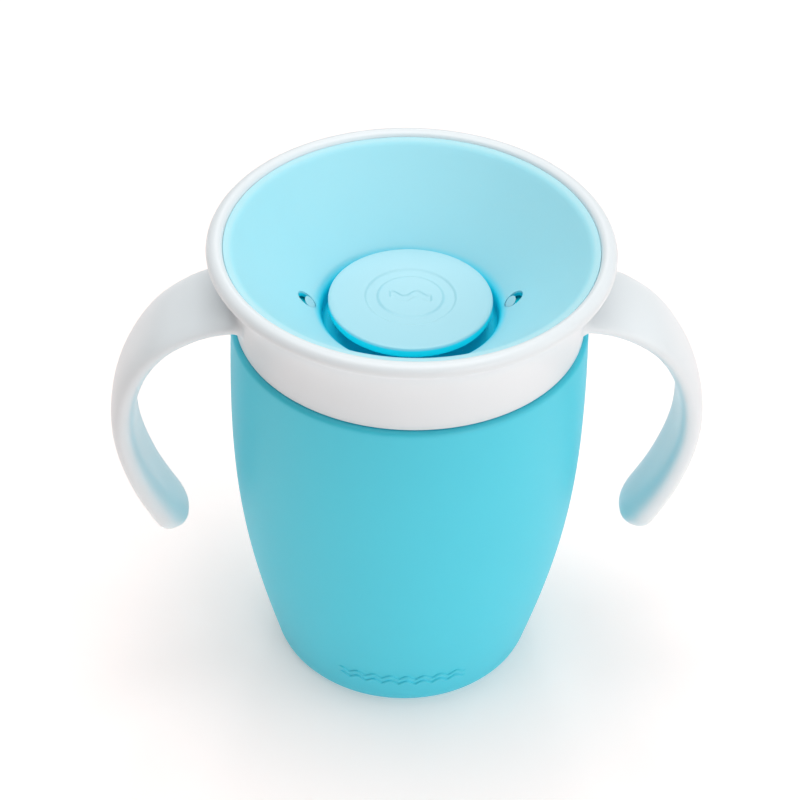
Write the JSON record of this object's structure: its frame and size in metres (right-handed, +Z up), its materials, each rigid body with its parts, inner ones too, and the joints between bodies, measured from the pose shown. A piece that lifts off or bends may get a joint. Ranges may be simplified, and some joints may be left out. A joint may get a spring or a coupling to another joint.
{
  "type": "sippy cup",
  "caption": "Two-handled toddler trainer cup with a flared white drinking rim, a funnel-shaped soft valve and a central round button.",
  "frame": {"origin": "centre of the cup's foot, on the surface it stands on", "axes": "+Z up the cup's axis, X through the two handles, -Y to the front with the ripple mark"},
  "size_m": [0.1238, 0.082, 0.1042],
  "materials": {
    "cup_plastic": "satin turquoise polypropylene",
    "seal_silicone": "pale grey matt silicone",
    "white_plastic": "satin white polypropylene",
    "valve_silicone": "matt pale aqua silicone",
    "button_plastic": "semi-gloss pale aqua plastic"
  },
  "bodies": {
    "cup": {"cup_body": "cup_plastic"},
    "seal": {"lid_gasket": "seal_silicone"},
    "lid": {"collar": "white_plastic", "handle_left": "white_plastic", "handle_right": "white_plastic"},
    "valve_frame": {"valve_carrier": "button_plastic", "centre_button": "button_plastic"},
    "valve": {"silicone_valve": "valve_silicone"}
  },
  "joints": [
    {"name": "lid_rise", "type": "slide", "parent": "cup", "child": "seal", "axis": [0, 0, 1], "range_m": [0, 0.0064]},
    {"name": "lid_turn", "type": "hinge", "parent": "seal", "child": "lid", "pos_m": [0, 0, 0.09], "axis": [0, 0, 1], "range_deg": [0, 270]},
    {"name": "valve_lift", "type": "slide", "parent": "lid", "child": "valve_frame", "axis": [0, 0, 1], "range_m": [0, 0.045]},
    {"name": "valve_give", "type": "slide", "parent": "valve_frame", "child": "valve", "axis": [0, 0, -1], "range_m": [0, 0.0005], "stiffness_N_per_m": 600}
  ],
  "couplings": [
    {"joint": "lid_rise", "follows": "lid_turn", "m_per_rad": 0.0012732}
  ]
}
